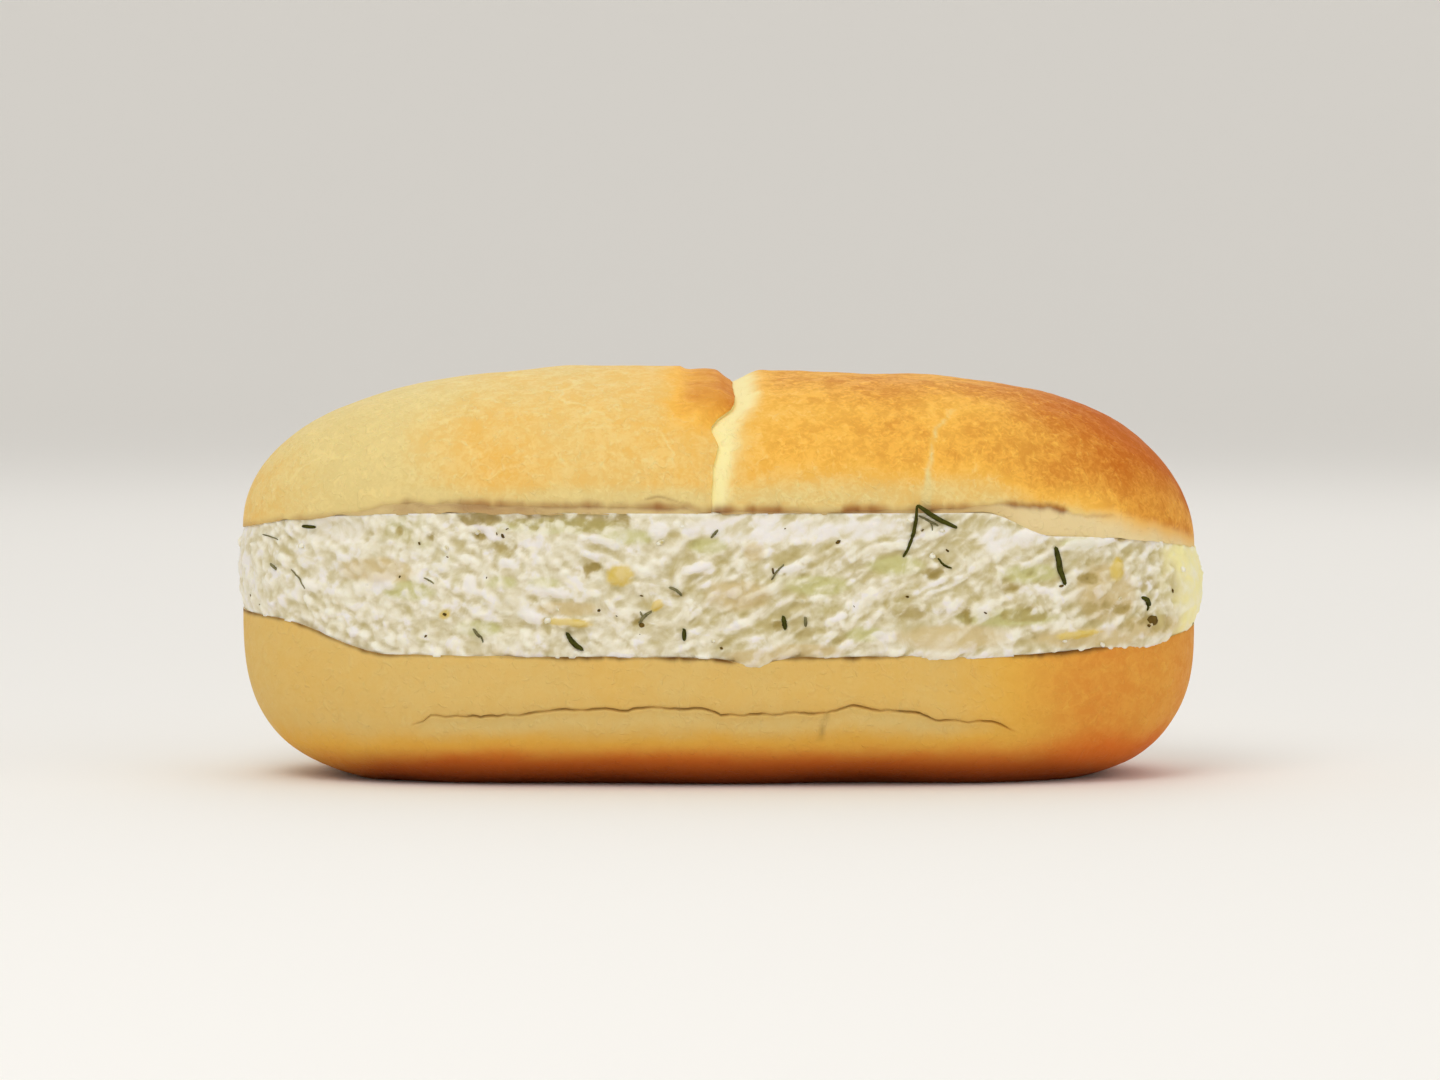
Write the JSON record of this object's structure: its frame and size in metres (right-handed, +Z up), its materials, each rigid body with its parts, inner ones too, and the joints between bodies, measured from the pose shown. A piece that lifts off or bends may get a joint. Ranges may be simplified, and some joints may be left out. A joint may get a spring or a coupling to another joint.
{
  "type": "white cheese sandwich",
  "caption": "Soft oval roll, split right through and filled with crumbled white cheese and dill, with a split across its golden top.",
  "frame": {"origin": "middle of the footprint, on the surface that the roll stands on", "axes": "+X along the roll, -Y towards the viewer of the picture, +Z up"},
  "size_m": [0.1515, 0.0688, 0.0637],
  "materials": {
    "upper_crust": "soft, slightly satin",
    "lower_crust": "soft, matte",
    "white_cheese": "moist, creamy"
  },
  "bodies": {
    "root": {"heel": "lower_crust", "filling": "white_cheese", "crown": "upper_crust"}
  },
  "joints": []
}
